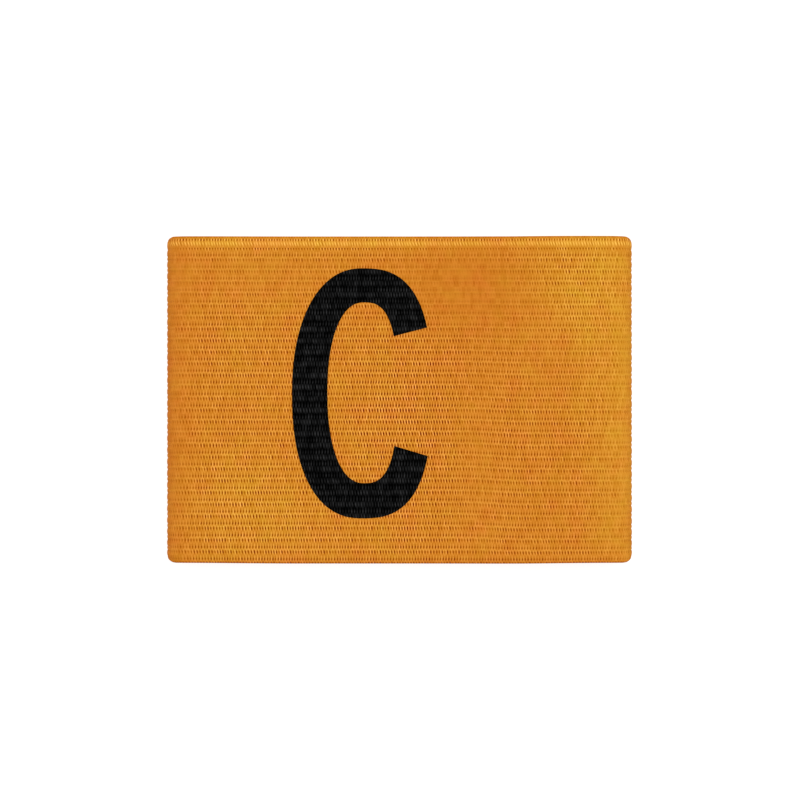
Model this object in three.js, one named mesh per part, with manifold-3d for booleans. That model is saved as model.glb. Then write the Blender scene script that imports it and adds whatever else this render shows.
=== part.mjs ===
// A captain's armband: a strip of ribbed elastic webbing whose ends lap and are sewn, so that it is
// a loop. It lies flat, with a plain printed letter on its upper face. Millimetres, +Z up, +X along
// the flattened loop, +Y across the band towards the top of the letter. The origin is the middle of
// the underside.

import * as THREE from "three";
import { mergeVertices } from "three/addons/utils/BufferGeometryUtils.js";
import Module from "manifold-3d";

// The flattened loop
const FLAT_LENGTH = 99.8; // from fold to fold, outside
const BAND_WIDTH = 70; // from selvedge to selvedge
const INNER_GAP = 7; // clear height inside the loop at its folds
const SAG = 1.1; // how far the upper layer sinks between the folds

// The webbing
const WEB_THICKNESS = 1.3; // over the ribs
const RIB_PITCH = 2.5;
const RIB_RELIEF = 0.25; // depth of the groove between two ribs
const GROOVE_WIDTH = 0.9;
const SELVEDGE_THICKNESS = 0.6;
const CURL_DEPTH = 0.45; // how far a selvedge curls into the loop
const CURL_REACH = 1.6; // how wide that curl is

// The lap seam, underneath
const SEAM_OFFSET = 7.3; // of its middle, along the band
const LAP_LENGTH = 12;
const LAP_GAP = 0.1; // between the two lapped ends
const RAMP_LENGTH = 6; // where the upper end comes down to the level of the lower one

// The printed letter
const LETTER_OFFSET = -8.1; // of the oval's middle, along the band
const LETTER_TOP_MARGIN = 6.8; // from the selvedge
const LETTER_BOTTOM_MARGIN = 9.6;
const OVAL_WIDTH = 30;
const BACK_POWER = 2.25; // of the oval's left half. 2 is an ellipse, and more is squarer
const FRONT_POWER = 2.75; // of its right half
const STROKE = 7.6;
const OUTER_MOUTH = { up: 24.4, down: 22.6 }; // the turns, in degrees, to the ends of the mouth
const INNER_MOUTH = { up: 31.8, down: 28.9 }; // and the same at the inner edge of the stroke
const PRINT_THICKNESS = 0.3;
const PRINT_RELIEF = 0.15; // how much of the grooves shows through the print
const PRINT_GAP = 0.1; // between the ribs and the print

// The upper layer's height between its folds: where, as a share of the half length between them,
// and how much of the sag it has there.
const UPPER_LAYER = [
  { along: -1, sunk: 0 },
  { along: -0.4, sunk: 1 },
  { along: 0.1, sunk: 1 },
  { along: 0.75, sunk: 0 },
  { along: 1, sunk: 0 },
];

// Soft dents and swells of the upper layer. The middle is given in shares of the half length and of
// the half width, and so is the reach. The rise is a share of the sag.
const DENTS = [
  { along: 1, across: 0.85, reachAlong: 0.5, reachAcross: 0.95, rise: -0.9 },
  { along: -0.85, across: -0.6, reachAlong: 0.5, reachAcross: 0.6, rise: 0.45 },
];

// How finely each stretch of the strip is divided
const LAP_STEPS = 1;
const RAMP_STEPS = 4;
const FOLD_STEPS = 8;
const UPPER_STEPS = 10;
const UNDER_STEPS = 1;
const OVAL_STEPS = 40;

const halfWidth = BAND_WIDTH / 2;
const halfWeb = WEB_THICKNESS / 2;
const loopHeight = INNER_GAP + 2 * WEB_THICKNESS;
const foldRadius = (loopHeight - WEB_THICKNESS) / 2; // of the middle of the webbing
const foldX = FLAT_LENGTH / 2 - foldRadius - halfWeb;
const lowerZ = halfWeb;
const upperZ = loopHeight - halfWeb;
const lapZ = lowerZ + WEB_THICKNESS + LAP_GAP;
const ribCount = Math.round(BAND_WIDTH / RIB_PITCH);
const ribStep = BAND_WIDTH / ribCount;
const ribMiddles = Array.from({ length: ribCount }, (_, rib) => (rib + 0.5) * ribStep - halfWidth);

// An ease from 0 to 1 that starts and ends level.
function ease(share) {
  return (1 - Math.cos(Math.PI * THREE.MathUtils.clamp(share, 0, 1))) / 2;
}

// The share of a dent or swell at a distance from its middle, as a share of its reach.
function fade(distance) {
  return 1 - ease(Math.abs(distance));
}

// How far the upper layer has sunk at x, worked out from the table.
function sunkAt(x) {
  const along = x / foldX;
  const next = Math.max(1, UPPER_LAYER.findIndex((station) => station.along >= along));
  const [from, to] = [UPPER_LAYER[next - 1], UPPER_LAYER[next]];
  const share = ease((along - from.along) / (to.along - from.along));
  return SAG * THREE.MathUtils.lerp(from.sunk, to.sunk, share);
}

// How far the dents lift the upper layer at a place.
function liftAt(x, across) {
  let lift = 0;
  for (const dent of DENTS) {
    const alongShare = (x / foldX - dent.along) / dent.reachAlong;
    const acrossShare = (across / halfWidth - dent.across) / dent.reachAcross;
    lift += dent.rise * SAG * fade(alongShare) * fade(acrossShare);
  }
  return lift;
}

// How far a selvedge has curled into the loop at a place across the band.
function curlAt(across) {
  const into = Math.max(0, Math.abs(across) - halfWidth + CURL_REACH) / CURL_REACH;
  return CURL_DEPTH * (1 - Math.sqrt(Math.max(0, 1 - into * into)));
}

// A station of the strip: the middle of the webbing, the way out of the loop there, and how much of
// the dents it takes, which is none underneath and all of them on top.
function station(x, z, outX, outZ) {
  const lifted = THREE.MathUtils.clamp((z - lowerZ) / (upperZ - lowerZ), 0, 1);
  return { x, z, outX, outZ, lifted };
}

// Stations along a stretch of the strip. The first one is left to the stretch before it.
function stretch(steps, at) {
  return Array.from({ length: steps }, (_, step) => at((step + 1) / steps));
}

// The flat stretch underneath from one x to another, at one height.
function flatRun(steps, fromX, toX, z) {
  return stretch(steps, (share) => station(THREE.MathUtils.lerp(fromX, toX, share), z, 0, -1));
}

// The stretch where the upper end of the lap comes down to the lower level.
function ramp(fromX) {
  return stretch(RAMP_STEPS, (share) => {
    const x = fromX - RAMP_LENGTH * share;
    const z = THREE.MathUtils.lerp(lapZ, lowerZ, ease(share));
    const slope = (((lapZ - lowerZ) * Math.PI) / 2 / RAMP_LENGTH) * Math.sin(Math.PI * share);
    const long = Math.hypot(1, slope);
    return station(x, z, slope / long, -1 / long);
  });
}

// A fold: half a turn about the point (x, middle of the loop), from one angle to another.
function fold(x, fromAngle, toAngle) {
  return stretch(FOLD_STEPS, (share) => {
    const angle = THREE.MathUtils.lerp(fromAngle, toAngle, share);
    const [outX, outZ] = [Math.cos(angle), Math.sin(angle)];
    return station(x + foldRadius * outX, lowerZ + foldRadius * (1 + outZ), outX, outZ);
  });
}

// The upper layer, from the left fold to the right one.
function upperLayer() {
  return stretch(UPPER_STEPS, (share) => {
    const x = THREE.MathUtils.lerp(-foldX, foldX, share);
    const nudge = foldX / UPPER_STEPS / 10;
    const slope = (sunkAt(x - nudge) - sunkAt(Math.min(foldX, x + nudge))) / (2 * nudge);
    const long = Math.hypot(1, slope);
    return { ...station(x, upperZ - sunkAt(x), -slope / long, 1 / long), lifted: 1 };
  });
}

// The whole strip, from its upper cut end in the lap round the loop to its lower cut end.
function wholeStrip() {
  const upperEnd = SEAM_OFFSET + LAP_LENGTH / 2;
  const lowerEnd = SEAM_OFFSET - LAP_LENGTH / 2;
  return [
    station(upperEnd, lapZ, 0, -1),
    ...flatRun(LAP_STEPS, upperEnd, lowerEnd, lapZ),
    ...ramp(lowerEnd),
    ...flatRun(UNDER_STEPS, lowerEnd - RAMP_LENGTH, -foldX, lowerZ),
    ...fold(-foldX, -Math.PI / 2, -1.5 * Math.PI),
    ...upperLayer(),
    ...fold(foldX, Math.PI / 2, -Math.PI / 2),
    ...flatRun(UNDER_STEPS, foldX, lowerEnd, lowerZ),
  ];
}

// A point of the webbing: at a station, across the band, and out from the middle of the webbing.
function place(at, across, out) {
  const away = out - curlAt(across);
  return new THREE.Vector3(
    at.x + away * at.outX,
    across,
    at.z + away * at.outZ + at.lifted * liftAt(at.x, across),
  );
}

// A face with flat-topped ribs, from one selvedge to the other, as points across and out.
function broadRibs(crest, relief) {
  const halfTop = (ribStep - GROOVE_WIDTH) / 2;
  const points = ribMiddles.flatMap((middle) => [
    new THREE.Vector2(middle - halfTop, crest),
    new THREE.Vector2(middle + halfTop, crest),
    new THREE.Vector2(middle + ribStep / 2, crest - relief),
  ]);
  return points.slice(0, -1);
}

// The same ribs, each with one edge along its top.
function plainRibs(crest, relief) {
  const points = ribMiddles.flatMap((middle) => [
    new THREE.Vector2(middle, crest),
    new THREE.Vector2(middle + ribStep / 2, crest - relief),
  ]);
  return points.slice(0, -1);
}

// The webbing's section: broad ribs outside, plain ones inside, and a thinner edge at each side.
function webbingSection() {
  const edge = SELVEDGE_THICKNESS / 2;
  return [
    new THREE.Vector2(-halfWidth, edge),
    ...broadRibs(halfWeb, RIB_RELIEF),
    new THREE.Vector2(halfWidth, edge),
    new THREE.Vector2(halfWidth, -edge),
    ...plainRibs(-halfWeb, -RIB_RELIEF).reverse(),
    new THREE.Vector2(-halfWidth, -edge),
  ];
}

// The section of a printed sheet over the whole width: smooth below, and softly ribbed above.
function printSection() {
  const under = halfWeb + PRINT_GAP;
  const above = broadRibs(under + PRINT_THICKNESS, PRINT_RELIEF);
  const below = ribMiddles.map((middle) => new THREE.Vector2(middle, under));
  return [...above, ...below.reverse()];
}

// A closed solid that carries a section through the stations.
function loft(section, stations) {
  const count = section.length;
  const points = stations.flatMap((at) => section.map((p) => place(at, p.x, p.y)));
  const faces = [];
  for (let ring = 0; ring < stations.length - 1; ring++) {
    for (let side = 0; side < count; side++) {
      const here = ring * count + side;
      const beside = ring * count + ((side + 1) % count);
      faces.push(here, here + count, beside, beside, here + count, beside + count);
    }
  }
  const lastRing = (stations.length - 1) * count;
  for (const [a, b, c] of THREE.ShapeUtils.triangulateShape(section, [])) {
    faces.push(a, c, b, lastRing + a, lastRing + b, lastRing + c);
  }
  const geometry = new THREE.BufferGeometry().setFromPoints(points);
  geometry.setIndex(faces);
  return geometry;
}

// A point of an oval with soft corners, at an angle from +X.
function ovalPoint(halfWide, halfHigh, angle) {
  const power = Math.cos(angle) < 0 ? BACK_POWER : FRONT_POWER;
  const soft = (value) => Math.sign(value) * Math.abs(value) ** (2 / power);
  return new THREE.Vector2(halfWide * soft(Math.cos(angle)), halfHigh * soft(Math.sin(angle)));
}

// An edge of the stroke: the oval, drawn in by inset, from the mouth's upper end to its lower one.
function strokeEdge(halfHigh, inset, mouth) {
  return Array.from({ length: OVAL_STEPS + 1 }, (_, step) => {
    const degrees = THREE.MathUtils.lerp(mouth.up, 360 - mouth.down, step / OVAL_STEPS);
    const angle = THREE.MathUtils.degToRad(degrees);
    return ovalPoint(OVAL_WIDTH / 2 - inset, halfHigh - inset, angle);
  });
}

// The letter, an oval ring that is open on the right, as a tall prism where it is printed.
function letterPrism() {
  const halfHigh = (BAND_WIDTH - LETTER_TOP_MARGIN - LETTER_BOTTOM_MARGIN) / 2;
  const middleY = (LETTER_BOTTOM_MARGIN - LETTER_TOP_MARGIN) / 2;
  const outer = strokeEdge(halfHigh, 0, OUTER_MOUTH);
  const inner = strokeEdge(halfHigh, STROKE, INNER_MOUTH);
  const shape = new THREE.Shape([...outer, ...inner.reverse()]);
  const depth = loopHeight + SAG + PRINT_GAP + PRINT_THICKNESS;
  const prism = new THREE.ExtrudeGeometry(shape, { depth, bevelEnabled: false });
  return prism.translate(LETTER_OFFSET, middleY, 0);
}

const wasm = await Module();
wasm.setup();

// A closed geometry as a manifold-3d solid.
function solidOf(geometry) {
  const bare = new THREE.BufferGeometry();
  bare.setAttribute("position", geometry.getAttribute("position"));
  bare.setIndex(geometry.index);
  const merged = mergeVertices(bare);
  const vertProperties = merged.attributes.position.array;
  const triVerts = new Uint32Array(merged.index.array);
  return new wasm.Manifold(new wasm.Mesh({ numProp: 3, vertProperties, triVerts }));
}

// A manifold-3d solid as a geometry.
function geometryOf(solid) {
  const mesh = solid.getMesh();
  const geometry = new THREE.BufferGeometry();
  geometry.setAttribute("position", new THREE.BufferAttribute(mesh.vertProperties, mesh.numProp));
  geometry.setIndex(new THREE.BufferAttribute(mesh.triVerts, 1));
  return geometry;
}

// The loop of elastic webbing.
function makeBand() {
  const webbing = new THREE.MeshStandardMaterial({ color: "#d2842b", roughness: 0.8, metalness: 0 });
  const band = new THREE.Mesh(loft(webbingSection(), wholeStrip()), webbing);
  band.name = "band";
  return band;
}

// The printed letter, cut from a sheet that follows the upper layer.
function makeLetter() {
  const sheet = solidOf(loft(printSection(), upperLayer()));
  const ink = new THREE.MeshStandardMaterial({ color: "#0f0f0f", roughness: 0.7, metalness: 0 });
  const letter = new THREE.Mesh(geometryOf(sheet.intersect(solidOf(letterPrism()))), ink);
  letter.name = "printed_letter";
  return letter;
}

const armband = new THREE.Group();
armband.name = "captain_armband";
armband.add(makeBand(), makeLetter());

export default armband;
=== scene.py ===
"""A captain's armband of ribbed elastic webbing, lying pressed flat with its printed face up.

Metres, +Z up, +X along the flattened loop, +Y across the band towards the top of the letter.
"""

import logging
import math
from dataclasses import dataclass, field
from enum import Enum

import bpy
import numpy as np
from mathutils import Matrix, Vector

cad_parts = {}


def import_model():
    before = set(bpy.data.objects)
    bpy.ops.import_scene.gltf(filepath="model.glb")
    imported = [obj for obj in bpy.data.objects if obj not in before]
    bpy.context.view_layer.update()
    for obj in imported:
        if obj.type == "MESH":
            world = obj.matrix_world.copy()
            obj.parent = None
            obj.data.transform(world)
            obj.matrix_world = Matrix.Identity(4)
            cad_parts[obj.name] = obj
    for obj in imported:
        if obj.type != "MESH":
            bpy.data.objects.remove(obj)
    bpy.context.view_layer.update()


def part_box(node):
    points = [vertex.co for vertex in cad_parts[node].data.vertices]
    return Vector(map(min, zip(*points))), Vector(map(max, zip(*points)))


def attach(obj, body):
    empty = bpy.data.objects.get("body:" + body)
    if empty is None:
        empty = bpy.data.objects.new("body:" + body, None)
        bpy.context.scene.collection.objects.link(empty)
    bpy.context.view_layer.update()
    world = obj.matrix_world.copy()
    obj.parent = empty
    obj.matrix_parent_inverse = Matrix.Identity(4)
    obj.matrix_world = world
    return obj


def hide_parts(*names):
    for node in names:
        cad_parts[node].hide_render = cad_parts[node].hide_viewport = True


MM = 0.001
STRIP_MAP = "Strip"
ROOT = "root"
Colour = tuple[float, float, float, float]
log = logging.getLogger("armband")


class Slot(Enum):
    """The record's material slots."""

    WEBBING = "webbing"
    INK = "ink"


class Side(Enum):
    """The two faces of the strip, as the sign of the way out of the loop."""

    OUTER = 1
    INNER = -1


@dataclass(frozen=True)
class Matt:
    """How matt a surface is: its roughness, and how strong its highlights are."""

    roughness: float
    specular: float


class Signal:
    """A value in a shader. Arithmetic on it adds Math nodes."""

    def __init__(self, bench: "Bench", socket: bpy.types.NodeSocket) -> None:
        """Wraps an output socket of a node on the bench."""
        self.bench = bench
        self.socket = socket

    def output(self, name: str) -> "Signal":
        """Another output of the same node."""
        return Signal(self.bench, self.socket.node.outputs[name])

    def math(self, operation: str, *others: "Signal | float") -> "Signal":
        """Puts this value and others through one Math node.

        Args:
            operation: the Math node's operation.
            others: its second value, if it takes one.

        Returns:
            The node's result.
        """
        inputs = dict(enumerate((self, *others)))
        return self.bench.add("ShaderNodeMath", inputs, operation=operation)

    def __add__(self, other: "Signal | float") -> "Signal":
        """This value plus another."""
        return self.math("ADD", other)

    def __sub__(self, other: "Signal | float") -> "Signal":
        """This value less another."""
        return self.math("SUBTRACT", other)

    def __mul__(self, other: "Signal | float") -> "Signal":
        """This value times another."""
        return self.math("MULTIPLY", other)

    def __truediv__(self, other: "Signal | float") -> "Signal":
        """This value divided by another."""
        return self.math("DIVIDE", other)

    def floor(self) -> "Signal":
        """The whole number below this value."""
        return self.math("FLOOR")

    def share(self) -> "Signal":
        """What is left of this value above that whole number."""
        return self.math("FRACT")

    def wave(self) -> "Signal":
        """A wave from 0 to 1 and back over each whole number, 1 on the number itself."""
        return (self * (2 * math.pi)).math("COSINE") * 0.5 + 0.5

    def between(self, low: float, high: float) -> "Signal":
        """A smooth step.

        Args:
            low: the value at which the step leaves 0.
            high: the value at which it reaches 1. It may be the lower of the two.

        Returns:
            The step, from 0 to 1.
        """
        inputs = {"Value": self, "From Min": low, "From Max": high}
        return self.bench.add("ShaderNodeMapRange", inputs, interpolation_type="SMOOTHSTEP")

    def hump(self, middle: float, reach: float) -> "Signal":
        """A smooth hump.

        Args:
            middle: the value at which the hump is 1.
            reach: how far from there it is 0 again.

        Returns:
            The hump, from 0 to 1.
        """
        return (self - middle).math("ABSOLUTE").between(reach, 0.0)


class Bench:
    """The node tree of one material, and the one method that adds nodes to it."""

    def __init__(self, name: str) -> None:
        """Makes a material with an empty node tree.

        Args:
            name: the material's name.
        """
        self.material = bpy.data.materials.new(name)
        self.material.use_nodes = True
        self.tree = self.material.node_tree
        self.tree.nodes.clear()

    def add(
        self,
        kind: str,
        inputs: dict[str | int, object],
        output: str | int = 0,
        **settings: object,
    ) -> Signal:
        """Adds a node.

        Args:
            kind: the node's type.
            inputs: a value or a signal for each named or numbered socket.
            output: the name or number of the output that is wanted.
            settings: its properties, which are set first. A ramp's stops are pairs of a place
                and a colour.

        Returns:
            That output.
        """
        node = self.tree.nodes.new(kind)
        for name, value in settings.items():
            if name == "stops":
                self.set_stops(node.color_ramp, value)
            else:
                setattr(node, name, value)
        for key, value in inputs.items():
            if isinstance(value, Signal):
                self.tree.links.new(value.socket, node.inputs[key])
            else:
                node.inputs[key].default_value = value
        return Signal(self, node.outputs[output])

    @staticmethod
    def set_stops(ramp: bpy.types.ColorRamp, stops: tuple[tuple[float, Colour], ...]) -> None:
        """Gives a ramp its stops.

        Args:
            ramp: the ramp.
            stops: a place from 0 to 1 and a colour for each stop, in order.
        """
        while len(ramp.elements) < len(stops):
            ramp.elements.new(1.0)
        for element, (place, colour) in zip(ramp.elements, stops):
            element.position = place
            element.color = colour

    def blend(
        self, share: Signal | float, first: object, second: object, kind: str = "MIX"
    ) -> Signal:
        """Mixes two colours.

        Args:
            share: how much of the second colour there is.
            first: a colour or a colour signal.
            second: another, or what the first one is multiplied by.
            kind: how they mix.

        Returns:
            The mixed colour.
        """
        inputs = {0: share, 6: first, 7: second}
        return self.add("ShaderNodeMix", inputs, 2, data_type="RGBA", blend_type=kind)

    def noise(self, place: Signal, scale: float) -> Signal:
        """Smooth noise from 0 to 1, around 0.5.

        Args:
            place: a vector signal.
            scale: how many swells there are to a metre.

        Returns:
            The noise.
        """
        return self.add("ShaderNodeTexNoise", {"Vector": place, "Scale": scale, "Detail": 2.0})

    def finish(
        self, colour: object, matt: Matt, height: Signal | None = None, glow: float = 0.0
    ) -> bpy.types.Material:
        """Gives the material its surface.

        Args:
            colour: a colour or a colour signal.
            matt: how matt it is.
            height: how high each point stands, in millimetres.
            glow: how strongly it shines with a white light of its own.

        Returns:
            The material.
        """
        inputs = {
            "Base Color": colour,
            "Roughness": matt.roughness,
            "Specular IOR Level": matt.specular,
        }
        if glow:
            inputs |= {"Emission Color": (1.0, 1.0, 1.0, 1.0), "Emission Strength": glow}
        if height is not None:
            inputs["Normal"] = self.add("ShaderNodeBump", {"Height": height, "Distance": MM})
        surface = self.add("ShaderNodeBsdfPrincipled", inputs)
        node = self.tree.nodes.new("ShaderNodeOutputMaterial")
        self.tree.links.new(surface.socket, node.inputs["Surface"])
        return self.material


@dataclass(frozen=True)
class RibPoint:
    """A place in one period of the ribs.

    Attributes:
        share: how far it lies above a ridge's middle, as a share of the pitch.
        sunk: how far the face is sunk there, as a share of the relief.
    """

    share: float
    sunk: float


UPPER_VALLEY = 0.19
LOWER_VALLEY = 0.795
PERIOD = (
    RibPoint(0.00, 0.20),
    RibPoint(0.08, 0.35),
    RibPoint(UPPER_VALLEY, 0.90),
    RibPoint(0.25, 0.40),
    RibPoint(0.34, 0.08),
    RibPoint(0.47, 0.00),
    RibPoint(0.60, 0.08),
    RibPoint(0.69, 0.40),
    RibPoint(LOWER_VALLEY, 1.00),
    RibPoint(0.86, 0.75),
    RibPoint(0.94, 0.30),
)


@dataclass(frozen=True)
class Ribs:
    """The ribs across the webbing: broad ones, with a narrow ridge between two valleys beside each.

    Attributes:
        half_width: from the middle of the band to a selvedge.
        pitch: from one ridge to the next.
        lowest_ridge: where the lowest ridge lies, from the middle of the band.
        ridges: how many ridges there are.
        relief: how deep a valley is.
        top_rib: where the rib at the upper selvedge is full, from the middle of the band.
        top_slope, top_foot: how far below that its slope starts, and its share of the relief.
        web, edge: the webbing's thickness over its ribs and at a selvedge.
        rounding: how far in from a selvedge it starts to thin.
        rounding_rows: where the rows of vertices lie in that rounding, as shares of it.
        curl, curl_reach: how far a selvedge curls into the loop, and how wide that is.
    """

    half_width: float
    pitch: float = 2.498 * MM
    lowest_ridge: float = -32.06 * MM
    ridges: int = 26
    relief: float = 0.16 * MM
    top_rib: tuple[float, float] = (33.4 * MM, 34.1 * MM)
    top_slope: float = 0.4 * MM
    top_foot: float = 1 / 3
    web: float = 1.3 * MM
    edge: float = 0.2 * MM
    rounding: float = 0.6 * MM
    rounding_rows: tuple[float, ...] = (0.45, 0.75, 0.93, 1.0)
    curl: float = 0.4 * MM
    curl_reach: float = 1.6 * MM

    def table(self) -> tuple[np.ndarray, np.ndarray]:
        """The whole section.

        Returns:
            The places across the band, in order, and how far the face is sunk at each.
        """
        places = []
        for ridge in range(-1, self.ridges):
            for point in PERIOD:
                across = self.lowest_ridge + (ridge + point.share) * self.pitch
                last = ridge == self.ridges - 1 and point.share > LOWER_VALLEY
                if across > self.rounding / 2 - self.half_width and not last:
                    places.append((across, point.sunk * self.relief))
        first, second = self.top_rib
        places.append((first - self.top_slope, self.relief * self.top_foot))
        places += [(first, 0.0), (second, 0.0)]
        for share in self.rounding_rows:
            across = self.half_width - self.rounding * (1 - share)
            places += [(across, 0.0), (-across, 0.0)]
        places.sort()
        across, sunk = np.array(places).T
        return across, sunk

    def half_thickness(self, across: np.ndarray, relief_share: float = 1.0) -> np.ndarray:
        """Half the webbing's thickness.

        Args:
            across: places across the band.
            relief_share: how much of the valleys' depth shows.

        Returns:
            The height of a face above the middle of the webbing.
        """
        rows, sunk = self.table()
        near_edge = (np.abs(across) - self.half_width + self.rounding) / self.rounding
        full = np.sqrt(1 - np.clip(near_edge, 0, 1) ** 2)
        half = (self.edge + (self.web - self.edge) * full) / 2
        return half - relief_share * np.interp(across, rows, sunk)

    def curled(self, across: np.ndarray) -> np.ndarray:
        """How far the webbing has curled into the loop at places across the band."""
        into = np.clip(np.abs(across) - self.half_width + self.curl_reach, 0, None)
        return self.curl * (1 - np.sqrt(1 - np.clip(into / self.curl_reach, 0, 1) ** 2))


@dataclass(frozen=True)
class Dent:
    """A soft dent or swell of the upper layer.

    Attributes:
        along, across: its middle, as shares of half the length and half the width.
        reach_along, reach_across: how far it reaches, in the same shares.
        rise: how far it lifts the webbing, as a share of the sag.
    """

    along: float
    across: float
    reach_along: float
    reach_across: float
    rise: float


UPPER_LAYER = ((-1.0, 0.0), (-0.4, 1.0), (0.1, 1.0), (0.75, 0.0), (1.0, 0.0))
DENTS = (
    Dent(along=1.0, across=0.85, reach_along=0.5, reach_across=0.95, rise=-0.9),
    Dent(along=-0.85, across=-0.6, reach_along=0.5, reach_across=0.6, rise=0.45),
)


def ease(share: np.ndarray) -> np.ndarray:
    """A rise from 0 to 1 that starts and ends level."""
    return (1 - np.cos(np.pi * np.clip(share, 0, 1))) / 2


def bell(share: np.ndarray) -> np.ndarray:
    """A round hump, 1 in the middle and 0 from a share of 1 on."""
    return np.cos(np.pi / 2 * np.clip(np.abs(share), 0, 1))


@dataclass(frozen=True)
class Swell:
    """A round hump along one direction.

    Attributes:
        height: how high it is.
        middle: where it is highest.
        reach: how far from there it ends.
    """

    height: float
    middle: float
    reach: float

    def at(self, place: np.ndarray) -> np.ndarray:
        """How high it is at a place."""
        return self.height * bell((place - self.middle) / self.reach)


@dataclass(frozen=True)
class Sway:
    """How the ribs of the upper layer stray from straight lines.

    Attributes:
        half_width: half the band's width.
        rise, fall: how far the ribs stray up in the left part and down in the right one.
        left_end, right_start: where along the loop the one ends and the other starts.
        selvedge_power: how steeply all this ends at a selvedge.
        bulge: how far the upper selvedge bulges out, along the loop.
        tuck: how far the lower selvedge stands in near the folds.
        tuck_start, tuck_reach: how far from the middle that starts, and in what length.
    """

    half_width: float
    rise: Swell = Swell(0.36 * MM, -5.0 * MM, 33.0 * MM)
    left_end: float = 13.0 * MM
    right_start: float = 27.0 * MM
    fall: Swell = Swell(0.28 * MM, -30.0 * MM, 25.0 * MM)
    selvedge_power: int = 8
    bulge: Swell = Swell(0.12 * MM, 41.0 * MM, 17.0 * MM)
    tuck: float = 0.2 * MM
    tuck_start: float = 20.0 * MM
    tuck_reach: float = 28.0 * MM

    def up(self, x: np.ndarray, across: np.ndarray) -> np.ndarray:
        """How far the webbing has moved up across the band.

        Args:
            x: places along the upper layer.
            across: places across it.

        Returns:
            The moves.
        """
        right = ease((x - self.left_end) / (self.right_start - self.left_end))
        tuck = self.tuck * ease((np.abs(x) - self.tuck_start) / self.tuck_reach)
        near = (across / self.half_width) ** self.selvedge_power
        edge = np.where(across > 0, self.bulge.at(x), tuck)
        sway = self.rise.at(across) * (1 - right) - self.fall.at(across) * right
        return (1 - near) * sway + near * edge


@dataclass
class Stations:
    """Places along the strip.

    Attributes:
        x, z: where the middle of the webbing is.
        out_x, out_z: the way out of the loop there.
        lifted: how much of the dents it takes, from 0 to 1.
    """

    x: np.ndarray
    z: np.ndarray
    out_x: np.ndarray
    out_z: np.ndarray
    lifted: np.ndarray

    def along(self) -> np.ndarray:
        """How far each place lies from the start of the strip, along the webbing."""
        steps = np.hypot(np.diff(self.x), np.diff(self.z))
        return np.concatenate([[0.0], np.cumsum(steps)])

    @staticmethod
    def joined(stretches: "list[Stations]") -> "Stations":
        """Puts stretches end to end."""
        names = ("x", "z", "out_x", "out_z", "lifted")
        return Stations(*(np.concatenate([getattr(s, name) for s in stretches]) for name in names))


LAP_STEPS = 16
RAMP_STEPS = 8
UNDER_STEPS = 8
FOLD_STEPS = 16
UPPER_STEPS = 66


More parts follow.
